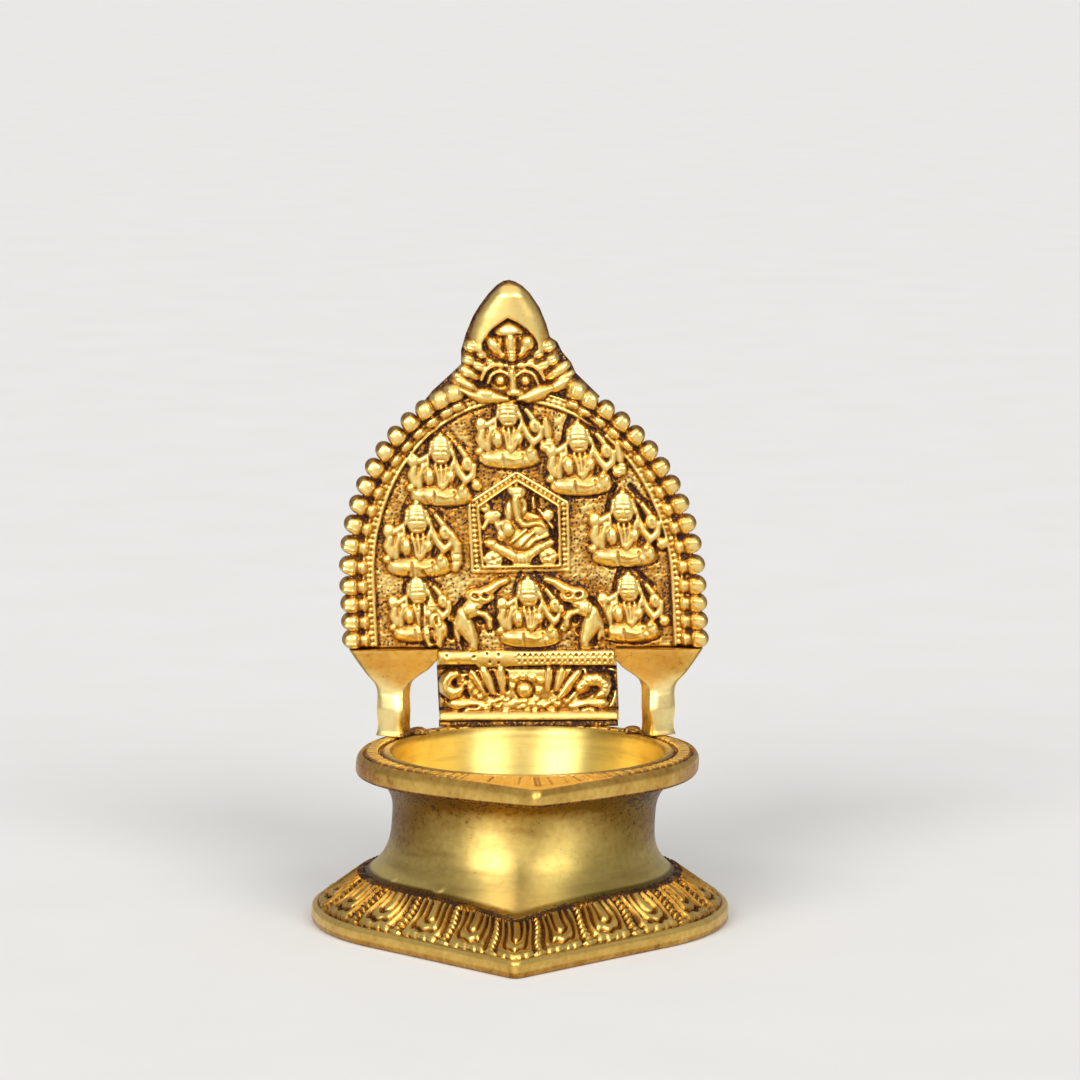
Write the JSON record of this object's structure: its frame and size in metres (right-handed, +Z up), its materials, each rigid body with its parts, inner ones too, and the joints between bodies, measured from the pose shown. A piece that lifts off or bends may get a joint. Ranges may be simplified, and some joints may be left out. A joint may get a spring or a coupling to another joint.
{
  "type": "oil lamp",
  "caption": "Small cast-brass oil lamp with a petalled foot, a turned bowl with a pointed wick lip, and an arched back plate of seated figures in relief.",
  "frame": {"origin": "middle of the foot's box at its base, on the surface that the lamp stands on", "axes": "+Z up, the bowl's pointed wick lip and the foot's point towards -Y, the back plate behind the bowl towards +Y"},
  "size_m": [0.0762, 0.092, 0.1143],
  "materials": {
    "relief_brass": "cast brass, bright on the relief with dark brown patina in the hollows",
    "aged_brass": "cast brass, amber with dark grooves between the petals and a satin edge band",
    "turned_brass": "turned brass, satin outside with faint turning lines, brighter inside the bowl",
    "polished_brass": "hand-polished brass with soft edges",
    "braze": "rough dull braze, darkened by heat"
  },
  "bodies": {
    "root": {"petal_foot": "aged_brass", "bowl_body": "turned_brass", "petal_rim": "aged_brass", "back_plate": "relief_brass", "left_leg": "polished_brass", "right_leg": "polished_brass", "left_leg_braze": "braze", "right_leg_braze": "braze", "panel_braze": "braze"}
  },
  "joints": []
}
